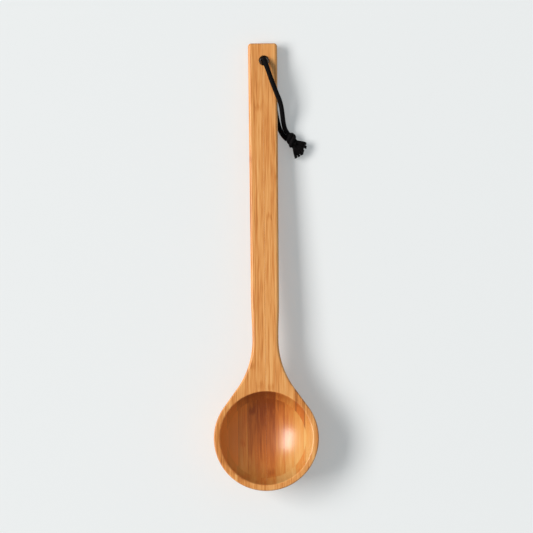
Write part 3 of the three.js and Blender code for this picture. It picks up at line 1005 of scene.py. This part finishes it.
def carried_frames(points):
    """Two directions across a line at each of its points, carried along it without twist."""
    headings = unit(np.gradient(points, axis=0))
    first = np.cross(headings[0], UP)
    if np.linalg.norm(first) < UPRIGHT_SLANT:
        first = np.cross(headings[0], (1.0, 0.0, 0.0))
    across = [first / np.linalg.norm(first)]
    for heading in headings[1:]:
        carried = across[-1] - heading * np.dot(across[-1], heading)
        across.append(carried / np.linalg.norm(carried))
    across = np.array(across)
    return across, np.cross(headings, across)


class Weave:
    """Tubes gathered into one mesh."""

    def __init__(self):
        self.corners = []
        self.faces = []
        self.count = 0

    def tube(self, points, wide, thick, sides):
        """A tube along points, with its section's two half axes as vectors at each point."""
        turns = np.arange(sides)[:, None] * 2 * math.pi / sides
        rings = points[:, None] + wide[:, None] * np.cos(turns) + thick[:, None] * np.sin(turns)
        start = self.count
        last = start + (len(points) - 1) * sides
        self.corners.append(rings.reshape(-1, 3))
        self.count = last + sides
        for low in range(start, last, sides):
            high = low + sides
            for i in range(sides):
                j = (i + 1) % sides
                self.faces.append((low + i, low + j, high + j, high + i))
        self.faces.append(tuple(start + i for i in reversed(range(sides))))
        self.faces.append(tuple(last + i for i in range(sides)))

    def braid(self, points, diameter):
        """Yarns laid both ways round a line, each passing over and under the others, on a plain core."""
        radius = diameter / 2
        length = np.linalg.norm(np.diff(points, axis=0), axis=1).sum()
        pitches = max(1, round(length / (BRAID_PITCH * diameter) * YARNS)) / YARNS
        line = evenly(points, length / (pitches * BRAID_STEPS))
        across, up = carried_frames(line)
        turn = np.arange(len(line)) * 2 * math.pi / BRAID_STEPS
        core = radius * (YARN_MIDDLE - YARN_WEAVE)
        self.tube(line, across * core, up * core, CORE_SIDES)
        for way in (-1, 1):
            for yarn in range(YARNS):
                angle = way * turn + 2 * math.pi * yarn / YARNS
                outward = across * np.cos(angle)[:, None] + up * np.sin(angle)[:, None]
                lift = radius * (YARN_MIDDLE + way * YARN_WEAVE * np.cos(YARNS * turn))
                centre = line + outward * lift[:, None]
                heading = unit(np.gradient(centre, axis=0))
                sideways = unit(np.cross(heading, outward))
                thick = unit(np.cross(sideways, heading))
                wide = sideways * radius * YARN_HALF_WIDTH
                self.tube(centre, wide, thick * radius * YARN_HALF_THICK, YARN_SIDES)

    def mesh(self, name):
        mesh = bpy.data.meshes.new(name)
        mesh.from_pydata(np.concatenate(self.corners), [], self.faces)
        mesh.shade_smooth()
        mesh.set_sharp_from_angle(angle=YARN_SHARP_ANGLE)
        return mesh


def in_frame(points):
    """Points of the level ladle, tipped into the frame."""
    matrix = np.array(tip_matrix())
    return points @ matrix[:3, :3].T + matrix[:3, 3]


def cord_piece(name, weave, node):
    piece = link(name, weave.mesh(name), cord_material())
    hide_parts(node)
    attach(piece, "cord_loop")
    return piece


def on_table(place, height):
    """A place measured from the hole, at a height above the table, on the level ladle."""
    hole = hole_place()
    y = hole.y + place[1]
    return np.array((hole.x + place[0], y, table_height(y) + height))


def add_tuft(weave, draw, root, reach, lift, left):
    """Adds a tuft of loose filaments from its root, along the vector of its reach, with its tips lifted."""
    t = np.linspace(0.0, 1.0, FILAMENT_STEPS + 1)[:, None]
    thin = np.linspace(*FILAMENT_HALF_THICK, FILAMENT_STEPS + 1)[:, None]
    for _ in range(FILAMENTS):
        turn = draw.uniform(0.0, 2 * math.pi)
        aside = (left * math.cos(turn) + UP * math.sin(turn)) * draw.uniform(*SPREAD_VARIES)
        tip = root + reach * draw.uniform(*FILAMENT_LENGTHS) + aside * SPREAD_AT_TIP + UP * lift
        bend = root + reach * 0.5 + aside * SPREAD_HALFWAY
        line = (1 - t) ** 2 * (root + aside * SPREAD_AT_ROOT) + 2 * t * (1 - t) * bend + t**2 * tip
        weave.tube(in_frame(line), left * thin, UP * thin, FILAMENT_SIDES)


class LADLE_OT_stage(bpy.types.Operator):
    """Adds the floor, the light and the camera"""

    bl_idname = "ladle.stage"
    bl_label = "Stage"

    def execute(self, context):
        scene = context.scene
        stage = scene.ladle_stage
        lens = bpy.data.cameras.new("camera")
        lens.sensor_fit = "HORIZONTAL"
        lens.lens = stage.lens
        camera = bpy.data.objects.new("camera", lens)
        camera.location = (stage.camera_x, stage.camera_y, stage.camera_height)
        camera.rotation_euler = (0.0, 0.0, stage.camera_roll)
        scene.collection.objects.link(camera)
        scene.camera = camera
        scene.view_settings.view_transform = "Standard"

        sheet = bmesh.new()
        bmesh.ops.create_grid(sheet, x_segments=1, y_segments=1, size=stage.floor_size / 2)
        mesh = bpy.data.meshes.new("floor")
        sheet.to_mesh(mesh)
        sheet.free()
        link("floor", mesh, floor_paper(stage.floor, stage.floor_glow))

        lamp = bpy.data.lights.new("key", "AREA")
        lamp.shape = "RECTANGLE"
        lamp.size = stage.key_width
        lamp.size_y = stage.key_length
        lamp.energy = stage.key_power
        lamp.color = stage.key_colour
        key = bpy.data.objects.new("key", lamp)
        level = math.cos(stage.key_elevation) * stage.key_distance
        key.location = (-level * math.cos(stage.key_bearing), level * math.sin(stage.key_bearing),
                        math.sin(stage.key_elevation) * stage.key_distance)
        away = Vector(key.location).normalized()
        side = Vector(UP).cross(away).normalized()
        key.rotation_euler = Matrix((away.cross(side), -side, away)).transposed().to_euler()
        scene.collection.objects.link(key)

        sketch = Sketch(bpy.data.worlds.new("studio"))
        towards = sketch.add("ShaderNodeTexCoord").outputs["Generated"]
        rightward = sketch.add("ShaderNodeSeparateXYZ", {"Vector": towards}).outputs["X"]
        fill = sketch.math("MULTIPLY_ADD", rightward, stage.fill * stage.fill_lean, stage.fill)
        mirrored = sketch.add("ShaderNodeLightPath").outputs["Is Glossy Ray"]
        strength = sketch.math("MULTIPLY", fill, sketch.blend(mirrored, 1.0, stage.fill_shine))
        light = {"Color": (*stage.fill_colour, 1.0), "Strength": strength}
        sky = sketch.add("ShaderNodeBackground", light).outputs["Background"]
        sketch.add("ShaderNodeOutputWorld", {"Surface": sky})
        scene.world = sketch.owner
        return {"FINISHED"}


class LADLE_OT_cord_knot(bpy.types.Operator):
    """Adds the knot: the doubled cord wound round itself"""

    bl_idname = "ladle.cord_knot"
    bl_label = "Cord knot"

    def execute(self, context):
        cord = cord_settings()
        wrapped = cord.diameter * KNOT_STRAND_SHARE
        heading = unit(np.array((*KNOT_HEADING, 0.0)))
        side = np.cross(heading, UP)
        centre = on_table(KNOT_CENTRE, cord.knot_width / 2 + cord.clearance)
        weave = Weave()
        share = np.linspace(-0.5, 0.5, KNOT_STEPS + 1)[:, None]
        radius = (cord.knot_width - wrapped) / 2 * np.sqrt(1 - KNOT_DRAWN_IN * (2 * share) ** 2)
        middle = centre + heading * share * (cord.knot_length - wrapped)
        for strand in range(KNOT_STRANDS):
            turn = 2 * math.pi * (strand / KNOT_STRANDS + KNOT_TURNS * share)
            line = middle + radius * (np.cos(turn) * side + np.sin(turn) * UP)
            weave.braid(in_frame(line), wrapped)
        weave.braid(in_frame(middle), cord.diameter)
        cord_piece("knot_turns", weave, "cord_knot")
        return {"FINISHED"}


class LADLE_OT_cord_ends(bpy.types.Operator):
    """Adds the two frayed ends: tufts of filaments that fan out from the knot"""

    bl_idname = "ladle.cord_ends"
    bl_label = "Frayed cord ends"

    def execute(self, context):
        cord = cord_settings()
        for name, fray in FRAYS.items():
            draw = random.Random(fray["seed"])
            heading = unit(np.array((*fray["heading"], 0.0)))
            left = np.cross(UP, heading)
            start = on_table(fray["start"], cord.fray_width / 2 + cord.clearance)
            weave = Weave()
            braided = np.linspace(*FRAY_BRAID, FRAY_BRAID_STEPS + 1)[:, None] * heading * fray["length"]
            weave.braid(in_frame(start + braided), cord.diameter)
            for share in np.linspace(0.0, 1.0, TUFTS_ACROSS):
                fan = math.radians(np.interp(share, (0.0, 1.0), fray["fan"]))
                swing = fan + draw.uniform(-TUFT_SWING, TUFT_SWING)
                way = heading * math.cos(swing) + left * math.sin(swing)
                longest = fray["length"] * draw.uniform(*TUFT_LENGTHS)
                for layer in TUFT_LAYERS:
                    apart = left * (2 * share - 1) * ROOTS_ACROSS + UP * layer * ROOTS_IN_HEIGHT
                    reach = longest * draw.uniform(*LAYER_LENGTHS)
                    lift = (layer + draw.uniform(-LIFT_VARIES, LIFT_VARIES)) * cord.fray_width * TIP_LIFT
                    add_tuft(weave, draw, start + apart * cord.diameter, way * reach, lift, left)
            cord_piece(f"frayed_end_{name}", weave, f"cord_end_{name}")
        return {"FINISHED"}


class LADLE_OT_cord_strands(bpy.types.Operator):
    """Adds the two braided strands from the cord hole to the knot"""

    bl_idname = "ladle.cord_strands"
    bl_label = "Cord strands"

    def execute(self, context):
        cord, board = cord_settings(), board_settings()
        top = hole_place()
        under = top - Vector((0.0, 0.0, board.thickness))
        ends = [bpy.data.objects[f"frayed_end_{name}"] for name in FRAYS]
        knot = bpy.data.objects["knot_turns"]
        for name, route, mouth, pieces in (
            ("front", FRONT_ROUTE, top, [knot] + ends),
            ("back", BACK_ROUTE, under, []),
        ):
            path = in_frame(smooth_route([Vector(p) + mouth for p in route]))
            weave = Weave()
            weave.braid(path, cord.diameter)
            strand = cord_piece(f"{name}_strand", weave, f"cord_{name}_strand")
        return {"FINISHED"}


class LADLE_OT_board(bpy.types.Operator):
    """Adds the staves of the handle, the shoulders and the rim"""

    bl_idname = "ladle.board"
    bl_label = "Handle and rim staves"

    def execute(self, context):
        board = board_settings()
        finish = bamboo("bamboo_board", BOARD_STAVES)
        blank = carve(board_blank(), [hollow_cutter(), hole_cutter()])
        lines = seam_lines(BOARD_STAVES)
        for side, sign in SIDES:
            for i, strip in enumerate(BOARD_STRIPS[side]):
                shift = sign * (i + 1) * BOARD_GRAIN_STEP
                place = f"{side}_{i + 1}"
                shape = stave(blank, sign, lines[i], lines[i + 1])
                if i >= STAVES_CUT:
                    wood_piece(f"rim_side_{place}", shape, strip, shift, finish)
                    continue
                part = "handle_stave" if lines[i] < board.grip_width / 2 else "shoulder_stave"
                far = shape.copy()
                keep_side(shape, 1)
                keep_side(far, -1)
                wood_piece(f"{part}_{place}", shape, strip, shift, finish)
                wood_piece(f"far_rim_{place}", far, FAR_RIM_STRIPS[side][i], shift, finish)
        blank.free()
        return {"FINISHED"}


class LADLE_OT_bowl(bpy.types.Operator):
    """Adds the staves of the turned bowl"""

    bl_idname = "ladle.bowl"
    bl_label = "Bowl staves"

    def execute(self, context):
        board, bowl = board_settings(), bowl_settings()
        radius, centre = ball()
        top = -board.thickness - STAVE_GAP
        bottom = -bowl.hollow_depth - bowl.floor
        lowest = min(table_height(-bowl.rim_radius), table_height(bowl.rim_radius))
        end = math.asin((top - centre) / radius)
        inside = [(p.x, p.y) for p in arc((0.0, centre), radius, -QUARTER, end, HOLLOW_RINGS)]
        outside = [(outside_radius(z), z) for z in np.linspace(lowest, top, OUTSIDE_RINGS + 1)]
        profile = [(0.0, lowest)] + outside + list(reversed(inside))
        shape = turned(profile, TURNED_SEGMENTS)
        level = tip_matrix().inverted().to_3x3()
        base = cut_away(shape, Vector((0.0, 0.0, bottom)), level @ Vector((0.0, 0.0, -1.0)))
        edges = [edge for face in base for edge in face.edges]
        bmesh.ops.bevel(
            shape, geom=edges, offset=bowl.base_round, segments=BASE_STEPS, profile=0.5, affect="EDGES")
        shape = in_fixed_order(shape)
        split_many_sided(shape)
        finish = bamboo("bamboo_bowl", BOWL_STAVES)
        lines = seam_lines(BOWL_STAVES)
        for side, sign in SIDES:
            for i, strip in enumerate(BOWL_STRIPS[side]):
                piece = stave(shape, sign, lines[i], lines[i + 1])
                shift = sign * (i + 1) * BOWL_GRAIN_STEP + BOWL_GRAIN_START
                wood_piece(f"bowl_stave_{side}_{i + 1}", piece, strip, shift, finish)
        shape.free()
        return {"FINISHED"}


STEPS = (
    LADLE_OT_stage,
    LADLE_OT_cord_knot,
    LADLE_OT_cord_ends,
    LADLE_OT_cord_strands,
    LADLE_OT_board,
    LADLE_OT_bowl,
)


class LADLE_PT_panel(bpy.types.Panel):
    """Lists the steps that build the ladle, and their settings"""

    bl_idname = "LADLE_PT_panel"
    bl_label = "Sauna ladle"
    bl_space_type = "VIEW_3D"
    bl_region_type = "UI"
    bl_category = "Ladle"

    def draw(self, context):
        for step in STEPS:
            self.layout.operator(step.bl_idname)
        for name, group in SETTINGS.items():
            box = self.layout.box()
            for setting in group.__annotations__:
                box.prop(getattr(context.scene, name), setting)


SETTINGS = {
    "ladle_board": BoardSettings,
    "ladle_bowl": BowlSettings,
    "ladle_cord": CordSettings,
    "ladle_finish": FinishSettings,
    "ladle_stage": StageSettings,
}


def register():
    for group in SETTINGS.values():
        bpy.utils.register_class(group)
    for name, group in SETTINGS.items():
        setattr(bpy.types.Scene, name, bpy.props.PointerProperty(type=group))
    for step in STEPS:
        bpy.utils.register_class(step)
    bpy.utils.register_class(LADLE_PT_panel)


def unregister():
    bpy.utils.unregister_class(LADLE_PT_panel)
    for step in reversed(STEPS):
        bpy.utils.unregister_class(step)
    for name, group in SETTINGS.items():
        delattr(bpy.types.Scene, name)
        bpy.utils.unregister_class(group)


def main():
    register()
    bpy.ops.ladle.stage()
    bpy.ops.ladle.cord_knot()
    bpy.ops.ladle.cord_ends()
    bpy.ops.ladle.cord_strands()
    bpy.ops.ladle.board()
    bpy.ops.ladle.bowl()


if __name__ == "__main__":
    main()
